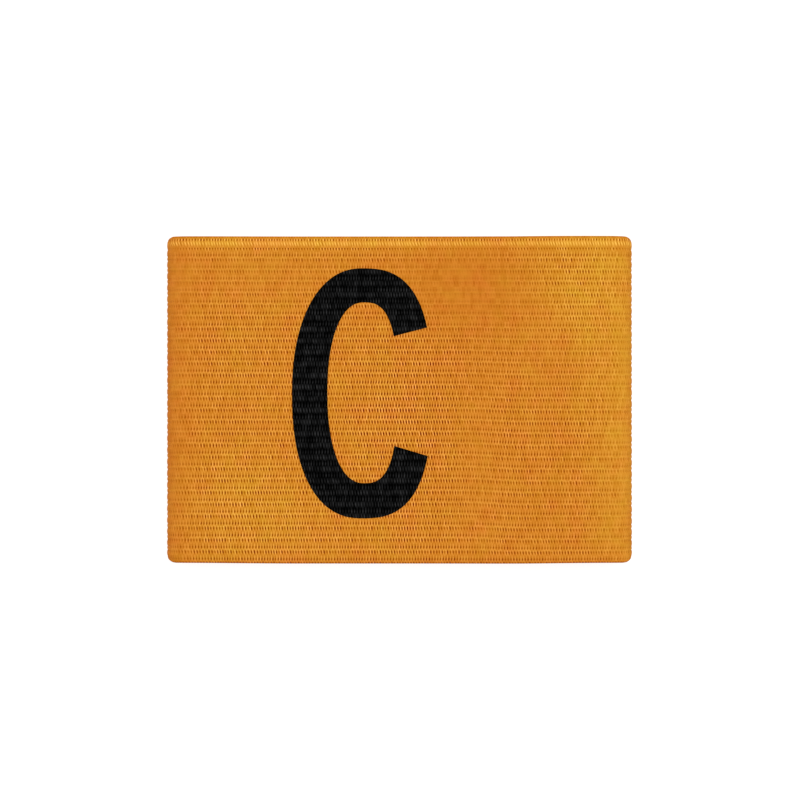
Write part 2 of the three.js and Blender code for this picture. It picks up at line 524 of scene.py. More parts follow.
@dataclass(frozen=True)
class LoopPath:
    """How the strip runs once round the flattened loop.

    Attributes:
        length: the flattened loop, from fold to fold.
        half_width, web: half the band's width, and the webbing's thickness.
        seam, lap, lap_gap: the lap's middle, its length and the gap between its ends.
        inner_gap: the clear height inside the folds.
        sag: how far the upper layer sinks between them.
        ramp: the stretch in which the upper end comes down beside the seam.
    """

    length: float
    half_width: float
    seam: float = 7.3 * MM
    web: float = 1.3 * MM
    inner_gap: float = 7.0 * MM
    sag: float = 1.1 * MM
    lap: float = 12.0 * MM
    lap_gap: float = 0.1 * MM
    ramp: float = 6.0 * MM

    @property
    def lower_z(self) -> float:
        """The height of the webbing's middle underneath."""
        return self.web / 2

    @property
    def fold_radius(self) -> float:
        """The radius of a fold, at the middle of the webbing."""
        return (self.inner_gap + self.web) / 2

    @property
    def fold_x(self) -> float:
        """Where the folds' middles lie, on each side."""
        return self.length / 2 - self.fold_radius - self.web / 2

    @property
    def lap_z(self) -> float:
        """The height of the upper lapped end."""
        return self.lower_z + self.web + self.lap_gap

    def lifted(self, z: np.ndarray) -> np.ndarray:
        """How much of the dents the strip takes at heights of its middle, from 0 to 1."""
        return (z - self.lower_z) / (2 * self.fold_radius)

    def rise(self, x: np.ndarray, across: np.ndarray) -> np.ndarray:
        """How far the dents and swells lift the upper layer.

        Args:
            x: places along it.
            across: places across it.

        Returns:
            The lifts.
        """
        lift = np.zeros(np.broadcast(x, across).shape)
        for dent in DENTS:
            near_x = 1 - ease(np.abs(x / self.fold_x - dent.along) / dent.reach_along)
            near_y = 1 - ease(np.abs(across / self.half_width - dent.across) / dent.reach_across)
            lift += dent.rise * self.sag * near_x * near_y
        return lift

    def sunk(self, x: np.ndarray) -> np.ndarray:
        """How far the upper layer has sunk between the folds.

        Args:
            x: places along it.

        Returns:
            How far it has sunk there.
        """
        along = x / self.fold_x
        total = np.zeros_like(x)
        for (start, before), (end, after) in zip(UPPER_LAYER, UPPER_LAYER[1:]):
            here = (along >= start) & (along <= end)
            share = ease((along[here] - start) / (end - start))
            total[here] = self.sag * (before + (after - before) * share)
        return total

    def underside(self, start: float, end: float, z: float, steps: int) -> Stations:
        """A level stretch underneath.

        Args:
            start: where it starts.
            end: where it ends.
            z: the height of its middle.
            steps: how many steps it has. Its start is left to the stretch before.

        Returns:
            Its stations.
        """
        x = np.linspace(start, end, steps + 1)[1:]
        same = np.ones(steps)
        return Stations(x, z * same, 0 * same, -same, self.lifted(z * same))

    def ramp_down(self, start: float, steps: int) -> Stations:
        """The stretch in which the upper lapped end comes down to the lower level.

        Args:
            start: where it starts.
            steps: how many steps it has.

        Returns:
            Its stations.
        """
        share = np.linspace(0, 1, steps + 1)[1:]
        drop = self.lap_z - self.lower_z
        z = self.lap_z - drop * ease(share)
        slope = drop * np.pi / 2 / self.ramp * np.sin(np.pi * share)
        long = np.hypot(1, slope)
        x = start - self.ramp * share
        return Stations(x, z, slope / long, -1 / long, self.lifted(z))

    def fold(self, x: float, start: float, end: float, steps: int) -> Stations:
        """A fold, half a turn.

        Args:
            x: where its middle lies.
            start: the angle at which it starts.
            end: the angle at which it ends.
            steps: how many steps it has.

        Returns:
            Its stations.
        """
        angle = np.linspace(start, end, steps + 1)[1:]
        out_x, out_z = np.cos(angle), np.sin(angle)
        z = self.lower_z + self.fold_radius * (1 + out_z)
        return Stations(x + self.fold_radius * out_x, z, out_x, out_z, (1 + out_z) / 2)

    def upper_layer(self, steps: int) -> Stations:
        """The upper layer, from the left fold to the right one.

        Args:
            steps: how many steps it has.

        Returns:
            Its stations.
        """
        x = np.linspace(-self.fold_x, self.fold_x, steps + 1)[1:]
        z = self.lower_z + 2 * self.fold_radius - self.sunk(x)
        slope = np.gradient(z, x)
        long = np.hypot(1, slope)
        return Stations(x, z, -slope / long, 1 / long, np.ones(steps))

    def strip(self) -> Stations:
        """The whole strip.

        Returns:
            Its stations, from its upper lapped end once round to its lower one.
        """
        upper_end = self.seam + self.lap / 2
        lower_end = self.seam - self.lap / 2
        return Stations.joined(
            [
                self.underside(upper_end, upper_end, self.lap_z, 1),
                self.underside(upper_end, lower_end, self.lap_z, LAP_STEPS),
                self.ramp_down(lower_end, RAMP_STEPS),
                self.underside(lower_end - self.ramp, -self.fold_x, self.lower_z, UNDER_STEPS),
                self.fold(-self.fold_x, -math.pi / 2, -1.5 * math.pi, FOLD_STEPS),
                self.upper_layer(UPPER_STEPS),
                self.fold(self.fold_x, math.pi / 2, -math.pi / 2, FOLD_STEPS),
                self.underside(self.fold_x, upper_end, self.lower_z, UNDER_STEPS),
                self.underside(upper_end, lower_end, self.lower_z, LAP_STEPS),
            ]
        )


def clear_selection() -> None:
    """Deselects everything, because an operator acts on all that is selected."""
    bpy.ops.object.select_all(action="DESELECT")


def places_of(piece: bpy.types.Object) -> np.ndarray:
    """Where a mesh's vertices are.

    Args:
        piece: the piece that has the mesh.

    Returns:
        The places, a row for each vertex.
    """
    found = np.empty(3 * len(piece.data.vertices))
    piece.data.vertices.foreach_get("co", found)
    return found.reshape(-1, 3)


def move_to(piece: bpy.types.Object, places: np.ndarray) -> None:
    """Moves a mesh's vertices to places, a row for each."""
    piece.data.vertices.foreach_set("co", places.ravel())
    piece.data.update()


def apply(piece: bpy.types.Object, kind: str, **settings: object) -> None:
    """Adds a modifier to a piece and applies it.

    Args:
        piece: the piece.
        kind: the modifier's type.
        settings: its properties.
    """
    clear_selection()
    bpy.context.view_layer.objects.active = piece
    piece.select_set(True)
    modifier = piece.modifiers.new(kind.title(), kind)
    for name, value in settings.items():
        setattr(modifier, name, value)
    bpy.ops.object.modifier_apply(modifier=modifier.name)


def flat_slab(name: str, columns: np.ndarray, rows: np.ndarray, thick: float) -> bpy.types.Object:
    """A flat slab, cut to size before it is laid in its loop.

    Args:
        name: the piece's name.
        columns: where its grid lines lie along X.
        rows: where they lie along Y.
        thick: its thickness, half above and half below.

    Returns:
        The slab.
    """
    clear_selection()
    across, along = len(rows) - 1, len(columns) - 1
    bpy.ops.mesh.primitive_grid_add(x_subdivisions=along, y_subdivisions=across, size=2)
    slab = bpy.context.object
    slab.name = slab.data.name = name
    places = places_of(slab)
    places[:, 0] = columns[np.rint((places[:, 0] + 1) / 2 * along).astype(int)]
    places[:, 1] = rows[np.rint((places[:, 1] + 1) / 2 * across).astype(int)]
    move_to(slab, places)
    apply(slab, "SOLIDIFY", thickness=thick, offset=0.0)
    return slab


def map_strip(piece: bpy.types.Object, along: np.ndarray, across: np.ndarray) -> None:
    """Gives a piece the map of where it lies on the flat strip, in metres.

    Args:
        piece: the piece.
        along: how far along the strip each vertex lies.
        across: how far across it.
    """
    mesh = piece.data
    for layer in list(mesh.uv_layers):
        mesh.uv_layers.remove(layer)
    corners = np.empty(len(mesh.loops), dtype=np.int32)
    mesh.loops.foreach_get("vertex_index", corners)
    layer = mesh.uv_layers.new(name=STRIP_MAP)
    places = np.stack([along[corners], across[corners]], axis=1)
    layer.uv.foreach_set("vector", places.astype(np.float32).ravel())


def smooth(piece: bpy.types.Object, degrees: float = 60.0) -> None:
    """Shades a piece smooth.

    Args:
        piece: the piece.
        degrees: the angle from which its edges stay sharp.
    """
    clear_selection()
    bpy.context.view_layer.objects.active = piece
    piece.select_set(True)
    bpy.ops.object.shade_smooth_by_angle(angle=math.radians(degrees))


@dataclass(frozen=True)
class Row:
    """A row of strokes beside each ridge: dark gaps between two picks, and the bright picks.

    Attributes:
        middle, reach: where it lies above the ridge and how far it reaches, in ribs.
        shift: how far its strokes stand aside, in picks.
        lean: how far they lean over a rib's pitch, in picks.
        strength: how strong they are.
        groove: how dark the bottom of the valley under it is, from 0 to 1, as painted shade.
    """

    middle: float
    reach: float
    shift: float
    lean: float
    strength: float
    groove: float = 1.0


@dataclass(frozen=True)
class Picks:
    """The weft threads that cross the ribs, and the dark gaps between them.

    Attributes:
        pitch: from one thread to the next.
        drift: how far the threads lean over a rib's pitch, in threads.
        stray, strays: how far they stray, in threads, and how often to a metre.
        rows: the rows of strokes beside a ridge.
        groove_reach, ridge_reach: how far a valley's bottom and a ridge reach, in ribs.
        last_row, last_fade: where the rows end at the top rib, and in what share of a rib.
        top_rib: the middle and the reach of that rib.
        top_lean, top_strength: how its strokes lean over a rib's pitch, and how strong they are.
        top_edge: the middle and the reach of the row of gaps at the upper selvedge.
        selvedge_shade: how far in from a selvedge the painted shade of its rounded edge starts, and
            how far in it is full.
        gap_wave, thread_wave: where on the picks' wave a gap or a thread starts and is full.
        gap_lot, thread_lot: how strong the weakest of them is, and how much chance adds.
    """

    pitch: float = 0.6 * MM
    drift: float = 0.07
    stray: float = 1.6
    strays: float = 120.0
    rows: tuple[Row, ...] = (
        Row(middle=0.800, reach=0.31, shift=0.0, lean=0.35, strength=1.12),
        Row(middle=0.220, reach=0.22, shift=0.46, lean=-0.40, strength=0.74),
        Row(middle=0.420, reach=0.28, shift=0.46, lean=-0.40, strength=0.16, groove=0.0),
    )
    groove_reach: float = 0.14
    ridge_reach: float = 0.14
    last_row: float = 32.4 * MM
    last_fade: float = 0.1
    top_rib: tuple[float, float] = (33.45 * MM, 0.80 * MM)
    top_lean: float = 1.1
    top_strength: float = 0.5
    top_edge: tuple[float, float] = (34.2 * MM, 0.42 * MM)
    selvedge_shade: tuple[float, float] = (0.6 * MM, 0.2 * MM)
    gap_wave: tuple[float, float] = (0.75, 0.2)
    gap_lot: tuple[float, float] = (0.4, 0.5)
    thread_wave: tuple[float, float] = (0.35, 0.9)
    thread_lot: tuple[float, float] = (0.35, 0.6)


class Weave:
    """Where a point lies in the ribs and among the picks.

    Attributes:
        place: the point's place on the flat strip.
        gaps: the dark gaps between two picks, in the valleys on both sides of each ridge, where
            shade is painted.
        threads: the picks between those gaps.
        groove: the bottoms of the valleys, where shade is painted.
        ridge: the ridges.
        edge_rib: the rib at the upper selvedge.
        edge_gaps: the dark gaps at the upper selvedge and on that rib.
        edge_threads: the picks between those.
        selvedge_shade: the rounded edges at the selvedges, where shade is painted.
        pick: the picks all over, from 0 between two of them to 1 on one.
        chance: a number from 0 to 1 that is each pick's own on each rib.
    """

    def __init__(self, bench: Bench, ribs: Ribs, picks: Picks) -> None:
        """Adds the nodes of the weave.

        Args:
            bench: the material's nodes.
            ribs: the ribs' sizes.
            picks: the picks' sizes.
        """
        self.bench = bench
        self.picks = picks
        self.place = bench.add("ShaderNodeUVMap", {}, uv_map=STRIP_MAP)
        along = bench.add("ShaderNodeSeparateXYZ", {0: self.place})
        across = along.output("Y")
        rib = (across - ribs.lowest_ridge) / ribs.pitch
        stray = bench.noise(self.place, picks.strays) * picks.stray
        count = along / picks.pitch + rib * picks.drift + stray
        fade = picks.last_fade * ribs.pitch
        inside = across.between(picks.last_row + fade, picks.last_row)
        gaps, threads = self.strokes(across.hump(*picks.top_edge), count, rib)
        self.edge_rib = across.hump(*picks.top_rib)
        slanted = count + rib * picks.top_lean
        more_gaps, more_threads = self.strokes(self.edge_rib * picks.top_strength, slanted, rib)
        self.edge_gaps = gaps + more_gaps
        self.edge_threads = threads + more_threads
        groove = self.gaps = self.threads = 0.0
        for number, row in enumerate(picks.rows, 1):
            above = rib + (0.5 - row.middle)
            beside = above.share() - 0.5
            mask = beside.hump(0.0, row.reach) * inside * row.strength
            shifted = count + beside * row.lean + row.shift
            gaps, threads = self.strokes(mask, shifted, above + number * ribs.ridges)
            self.gaps = gaps + self.gaps
            self.threads = threads + self.threads
            if row.groove:
                groove = beside.hump(0.0, picks.groove_reach) * row.groove + groove
        self.groove = groove * inside
        beside = (rib + 0.5).share() - 0.5
        self.ridge = beside.hump(0.0, picks.ridge_reach) * inside
        edge = across.math("ABSOLUTE")
        self.selvedge_shade = edge.between(*(ribs.half_width - inset for inset in picks.selvedge_shade))
        self.pick = (count + 0.5).wave()
        self.chance = self.lot(count, rib * 2)

    def strokes(self, mask: Signal, count: Signal, row: Signal) -> tuple[Signal, Signal]:
        """The gaps and the threads of one row.

        Args:
            mask: where the row lies.
            count: which pick it is, a whole number on the pick itself.
            row: the row's own number.

        Returns:
            The gaps and the threads.
        """
        wave = count.wave()
        least, more = self.picks.gap_lot
        gap = wave.between(*self.picks.gap_wave) * (self.lot(count, row) * more + least)
        least, more = self.picks.thread_lot
        lot = self.lot(count + 0.5, row) * more + least
        return mask * gap, mask * (wave.between(*self.picks.thread_wave) * lot)

    def lot(self, column: Signal, row: Signal) -> Signal:
        """A number from 0 to 1 that is the same between whole numbers and its own in each cell."""
        cell = self.bench.add("ShaderNodeCombineXYZ", {"X": column.floor(), "Y": row.floor()})
        return self.bench.add("ShaderNodeTexWhiteNoise", {"Vector": cell}, noise_dimensions="2D")


@dataclass(frozen=True)
class Patch:
    """A soft patch of the webbing, oval when seen from above. Its places are in millimetres.

    Attributes:
        x, y: its middle.
        reach_x, reach_y: how far it reaches from there.
        pale_dye_and_sheen: how much yellower it is at its middle, as painted sheen; below 0,
            painted shade.
        crisper: how much clearer the gaps in the weave are there.
        painted_light: how many levels brighter it is, as painted light; below 0 it is painted
            shade.
    """

    x: float
    y: float
    reach_x: float
    reach_y: float
    pale_dye_and_sheen: float = 0.0
    crisper: float = 0.0
    painted_light: float = 0.0

    def mask(self, bench: Bench, place: Signal) -> Signal:
        """The patch, from 0 outside it to 1 at its middle.

        Args:
            bench: the material's nodes.
            place: the point's place in the object.

        Returns:
            The mask.
        """
        scale = (1 / (self.reach_x * MM), 1 / (self.reach_y * MM), 0.0)
        shift = (-self.x / self.reach_x, -self.y / self.reach_y, 0.0)
        inputs = {0: place, 1: scale, 2: shift}
        offset = bench.add("ShaderNodeVectorMath", inputs, operation="MULTIPLY_ADD")
        away = bench.add("ShaderNodeVectorMath", {0: offset}, "Value", operation="LENGTH")
        return away.between(1.0, 0.0)


# Painted light: the yellow patches are painted sheen where the upper layer faces the light, and
# those below 0 are painted shade at the folds, along the lower selvedge and where the upper layer
# turns away.
PATCHES = (
    Patch(41, 27, 20, 24, pale_dye_and_sheen=0.80),
    Patch(52, -12, 20, 50, pale_dye_and_sheen=0.60),
    Patch(48, 8, 16, 24, pale_dye_and_sheen=0.32),
    Patch(-32, -22, 24, 19, pale_dye_and_sheen=0.55, crisper=0.06),
    Patch(-9, -3, 11, 26, pale_dye_and_sheen=0.18),
    Patch(-12, -30, 40, 14, pale_dye_and_sheen=0.16),
    Patch(-16, 35, 60, 6, pale_dye_and_sheen=0.45, crisper=0.30),
    Patch(-30, 12, 22, 34, pale_dye_and_sheen=0.15),
    Patch(-53, 0.0, 14, 120, pale_dye_and_sheen=-0.30, crisper=-0.90),
    Patch(56, -5, 20, 120, crisper=-0.90),
    Patch(-30, 27, 45, 12, crisper=-0.42),
    Patch(14, 25, 28, 17, crisper=-0.78, painted_light=-5),
    Patch(14, 22, 18, 26, pale_dye_and_sheen=-0.16),
    Patch(17, -12, 8, 50, crisper=-0.32),
    Patch(31, 10, 17, 18, crisper=-0.35),
    Patch(33, -24, 24, 26, crisper=-0.20),
    Patch(0.0, -6, 18, 34, crisper=0.35),
    Patch(0.0, -34.6, 300, 0.9, pale_dye_and_sheen=-0.40, painted_light=-5),
    Patch(-50.5, 0.0, 2.5, 300, painted_light=-14),
    Patch(50.5, 0.0, 2.5, 300, painted_light=-18),
)


def light_of(level: float) -> float:
    """The linear light of a picture's level from 0 to 255."""
    share = max(level, 0.0) / 255
    return share / 12.92 if share < 0.04045 else ((share + 0.055) / 1.055) ** 2.4


@dataclass(frozen=True)
class WebbingFinish:
    """Matt dyed polyester over rubber threads. Its tones are levels of a picture, from 0 to 255.

    Attributes:
        base: the red, green and blue of a broad rib.
        tone_reach: how far below and above that the tones go.
        tone_stops: how many stops their ramp has.
        gap, groove, selvedge_shade: how far below the base a gap, a valley and a selvedge's edge
            lie, all painted shade: in the holes between picks, at the valleys' bottoms and where a
            rounded selvedge turns away.
        thread, ridge, edge_rib: how far above it a thread, a ridge and the top rib lie, the ridge
            partly and the top rib wholly as painted highlight.
        ridge_dye_and_highlight, edge_rib_highlight: how much brighter and yellower a ridge is,
        partly dye and partly painted highlight, and the top rib, as painted highlight.
        pick, lot: how far the picks stand out on a broad rib, and differ from one another.
        crisp, crisp_noise: how clear the strokes are, and how much that varies.
        crisp_least: how clear they are at least, with the patches.
        pale: how pale the dye is, from 0 to 1, apart from the patches.
        pale_dye_and_sheen, redder, yellower: what pale dye and painted sheen, and two kinds of
            spots, multiply a colour by.
        red_noise, yellow_noise: the noise at which such a spot starts, and at which it is full.
        blotches: how many spots there are to a metre.
        picks: the weft threads.
        relief: how high a pick and a ridge stand and how deep a gap is, in millimetres.
        matt: how matt it is.
    """

    base: tuple[float, float, float] = (207.0, 124.0, 36.0)
    tone_reach: float = 90.0
    tone_stops: int = 11
    gap: float = 84.0
    thread: float = 58.0
    groove: float = 14.0
    ridge: float = 12.0
    ridge_dye_and_highlight: float = 0.12
    edge_rib: float = 18.0
    edge_rib_highlight: float = 0.30
    selvedge_shade: float = 16.0
    pick: float = 16.0
    lot: float = 12.0
    crisp: float = 0.84
    crisp_noise: float = 0.5
    crisp_least: float = 0.06
    pale: float = 0.18
    pale_dye_and_sheen: Colour = (1.06, 1.42, 1.28, 1.0)
    redder: Colour = (1.02, 0.93, 1.08, 1.0)
    yellower: Colour = (0.98, 1.06, 0.90, 1.0)
    blotches: float = 190.0
    red_noise: tuple[float, float] = (0.50, 0.72)
    yellow_noise: tuple[float, float] = (0.50, 0.28)
    picks: Picks = field(default_factory=Picks)
    relief: tuple[float, float, float] = (0.02, 0.02, 0.06)
    matt: Matt = Matt(0.8, 0.05)

    def tones(self) -> tuple[tuple[float, Colour], ...]:
        """The ramp of tones, from the darkest to the lightest.

        Returns:
            A place from 0 to 1 and a colour for each of its stops.
        """
        places = np.linspace(0.0, 1.0, self.tone_stops)
        offsets = (2 * places - 1) * self.tone_reach
        stops = []
        for place, offset in zip(places, offsets):
            red, green, blue = (light_of(level + offset) for level in self.base)
            stops.append((float(place), (red, green, blue, 1.0)))
        return tuple(stops)

    def material(self, ribs: Ribs) -> bpy.types.Material:
        """Makes the material.

        Args:
            ribs: the ribs that its weave follows.

        Returns:
            The material.
        """
        bench = Bench("orange_webbing")
        weave = Weave(bench, ribs, self.picks)
        place = bench.add("ShaderNodeTexCoord", {}, "Object")
        blotch = bench.noise(weave.place, self.blotches)
        crisp = blotch * self.crisp_noise + (self.crisp - self.crisp_noise / 2)
        # The dye's own paleness, with painted highlight on the ridges and the top rib.
        pale_dye_and_sheen = weave.edge_rib * self.edge_rib_highlight + weave.ridge * self.ridge_dye_and_highlight + self.pale
        # Gaps: painted shade in the holes between picks, beside the threads.
        strokes = weave.threads * self.thread - weave.gaps * self.gap
        # Ridges: partly painted highlight.
        strokes = strokes + weave.ridge * (weave.chance + 0.5) * self.ridge
        # Painted shade at the bottoms of the valleys.
        strokes = strokes - weave.groove * self.groove
        strokes = strokes + (weave.pick - 0.5) * self.pick
        # The top rib is brighter as a painted highlight, where the upper selvedge slopes toward the
        # light.
        level = (weave.chance - 0.5) * self.lot + weave.edge_rib * self.edge_rib
        level = level + weave.edge_threads * self.thread - weave.edge_gaps * self.gap
        # Painted shade along the rounded edges of both selvedges.
        level = level - weave.selvedge_shade * self.selvedge_shade
        # The patches paint sheen and shade into the colour, and change how clear the weave is.
        for patch in PATCHES:
            mask = patch.mask(bench, place)
            crisp = crisp + mask * patch.crisper if patch.crisper else crisp
            pale_dye_and_sheen = mask * patch.pale_dye_and_sheen + pale_dye_and_sheen if patch.pale_dye_and_sheen else pale_dye_and_sheen
            level = mask * patch.painted_light + level if patch.painted_light else level
        level = level + strokes * crisp.math("MAXIMUM", self.crisp_least)
        tone = level / (2 * self.tone_reach) + 0.5
        colour = bench.add("ShaderNodeValToRGB", {0: tone}, stops=self.tones())
        tints = (
            (blotch.between(*self.red_noise), self.redder),
            (blotch.between(*self.yellow_noise), self.yellower),
            (pale_dye_and_sheen, self.pale_dye_and_sheen),
        )
        for share, factors in tints:
            colour = bench.blend(share, colour, factors, "MULTIPLY")
        pick_high, ridge_high, gap_deep = self.relief
        height = weave.pick * pick_high + weave.ridge * ridge_high
        height = height - (weave.gaps + weave.edge_gaps) * gap_deep
        return bench.finish(colour, self.matt, height)


@dataclass(frozen=True)
class InkFinish:
    """Black textile ink, through which the weave shows as a painted grey sheen on the proud
    threads.

    Attributes:
        base, thread_sheen: the ink's colour, and the painted grey sheen on a thread that stands
            proud of it.
        sheen_strength: how strong that painted sheen is at its weakest spot, and how much more at
            its strongest.
        sheen_noise: the noise at which a spot of stronger sheen starts, and at which it is full.
        blotches: how many spots there are to a metre.
        shown: how much a thread, a ridge and a pick's own chance show through the ink, as painted
            sheen.
        picks: the webbing's weft threads.
        relief: how high a pick and a ridge stand, in millimetres.
        matt: how matt it is.
    """

    base: Colour = (0.0, 0.0, 0.0, 1.0)
    thread_sheen: Colour = (0.045, 0.045, 0.046, 1.0)
    sheen_strength: tuple[float, float] = (0.4, 0.6)
    sheen_noise: tuple[float, float] = (0.35, 0.65)
    blotches: float = 500.0
    shown: tuple[float, float, float] = (0.85, 0.05, 0.2)
    picks: Picks = field(default_factory=Picks)
    relief: tuple[float, float] = (0.03, 0.02)
    matt: Matt = Matt(0.6, 0.0)

    def material(self, ribs: Ribs) -> bpy.types.Material:
        """Makes the material.

        Args:
            ribs: the ribs that its weave follows.

        Returns:
            The material.
        """
        bench = Bench("black_ink")
        weave = Weave(bench, ribs, self.picks)
        # A painted grey sheen on the threads that stand proud of the ink, stronger in random spots.
        least, more = self.sheen_strength
        thread_sheen = bench.noise(weave.place, self.blotches).between(*self.sheen_noise) * more + least
        thread, ridge, pick = self.shown
        proud = weave.threads * thread + weave.ridge * ridge + weave.chance * weave.pick * pick
        colour = bench.blend(proud * thread_sheen, self.base, self.thread_sheen)
        pick_high, ridge_high = self.relief
        return bench.finish(colour, self.matt, weave.pick * pick_high + weave.ridge * ridge_high)


@dataclass
class Webbing:
    """The strip of elastic webbing, laid in its loop.

    Attributes:
        path, ribs, sway: how it runs round the loop, its ribs and how they stray.
        finish: its finish.
        seam_inset: how far the rows of stitches lie from the ends of the lap.
        seam_pull: how far the stitches pull the webbing in.
        top_corner, bottom_corner: the radius of the corners between the selvedges and the folds.
        corner_power: how near the selvedges this keeps.
    """

    path: LoopPath
    ribs: Ribs
    sway: Sway
    finish: WebbingFinish = field(default_factory=WebbingFinish)
    seam_inset: float = 1.5 * MM
    seam_pull: float = 0.3 * MM
    top_corner: float = 0.8 * MM
    bottom_corner: float = 1.1 * MM
    corner_power: int = 12

    def seams(self) -> tuple[float, float]:
        """Where the two rows of stitches lie."""
        reach = self.path.lap / 2 - self.seam_inset
        return self.path.seam - reach, self.path.seam + reach

    def pulled_in(self, x: np.ndarray, upper: np.ndarray, side: np.ndarray) -> np.ndarray:
        """How far the stitches pull in a face, where they show.

        Args:
            x: places along the loop.
            upper: whether each is on the upper lapped end.
            side: which face it is on.

        Returns:
            How far it moves into the webbing.
        """
        pull = np.zeros_like(x)
        for seam in self.seams():
            near = 1 - ease(np.abs(x - seam) / (self.path.lap / LAP_STEPS))
            pull += self.seam_pull * near
        shown = np.where(upper, side == Side.INNER.value, side == Side.OUTER.value)
        return pull * shown

    def rounded(self, x: np.ndarray, across: np.ndarray) -> np.ndarray:
        """How far the webbing's corners draw in at the folds.

        Args:
            x: places along the loop, from fold to fold.
            across: places across the band.

        Returns:
            The moves, upwards where they are positive.
        """
        corner = np.where(across > 0, self.top_corner, self.bottom_corner)
        past = np.clip((np.abs(x) - np.abs(x).max() + corner) / corner, 0, 1)
        drawn = corner * (1 - np.sqrt(1 - past**2))
        near = (np.abs(across) / self.path.half_width) ** self.corner_power
        return -np.sign(across) * near * drawn

    def build(self) -> None:
        """Makes the strip."""
        stations = self.path.strip()
        along = stations.along()
        rows, _ = self.ribs.table()
        slab = flat_slab("elastic_webbing", along, rows, self.path.web)
        flat = places_of(slab)
        across = flat[:, 1]
        side = np.sign(flat[:, 2])
        near = np.abs(along[None, :] - flat[:, 0:1]).argmin(axis=1)
        map_strip(slab, flat[:, 0], across)
        x, z, lifted = stations.x[near], stations.z[near], stations.lifted[near]
        underneath = lifted < 0.5
        out = side * self.ribs.half_thickness(across) - self.ribs.curled(across)
        out -= side * self.pulled_in(x, near <= LAP_STEPS, side) * underneath
        there = (
            x + out * stations.out_x[near],
            across + lifted * self.sway.up(x, across) + self.rounded(x, across),
            z + out * stations.out_z[near] + lifted * self.path.rise(x, across),
        )
        move_to(slab, np.column_stack(there))
        smooth(slab)
        slab.data.materials.append(self.finish.material(self.ribs))
        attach(slab, ROOT)
        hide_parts("band")
        log.info("webbing: %.1f mm long, %d faces", along[-1] / MM, len(slab.data.polygons))


@dataclass(frozen=True)
class Oval:
    """An oval of four quarters, open on the right.

    Attributes:
        middle: where its quarters meet, from the letter's middle.
        back, front, tall: how far it reaches to the left, to the right, and up and down.
        powers: of its upper left, its lower left and its right. 2 is an ellipse, and more is
            squarer.
        mouth: the turns from its middle line to the upper and the lower end of the mouth, in
            degrees.
    """

    middle: tuple[float, float]
    back: float
    front: float
    tall: float
    powers: tuple[float, float, float]
    mouth: tuple[float, float]

    def points(self, steps: int) -> np.ndarray:
        """Points on the oval.

        Args:
            steps: how many steps there are between them.

        Returns:
            The points, from the upper end of the mouth to the lower one.
        """
        upper, lower = (math.radians(turn) for turn in self.mouth)
        angle = np.linspace(upper, 2 * math.pi - lower, steps + 1)
        turn = np.stack([np.cos(angle), np.sin(angle)], axis=1)
        leftward, upward = turn[:, :1] < 0, turn[:, 1:] > 0
        upper_left, lower_left, right = self.powers
        power = np.where(leftward, np.where(upward, upper_left, lower_left), right)
        reach = np.where(leftward, (self.back, self.tall), (self.front, self.tall))
        return np.array(self.middle) + reach * np.sign(turn) * np.abs(turn) ** (2 / power)


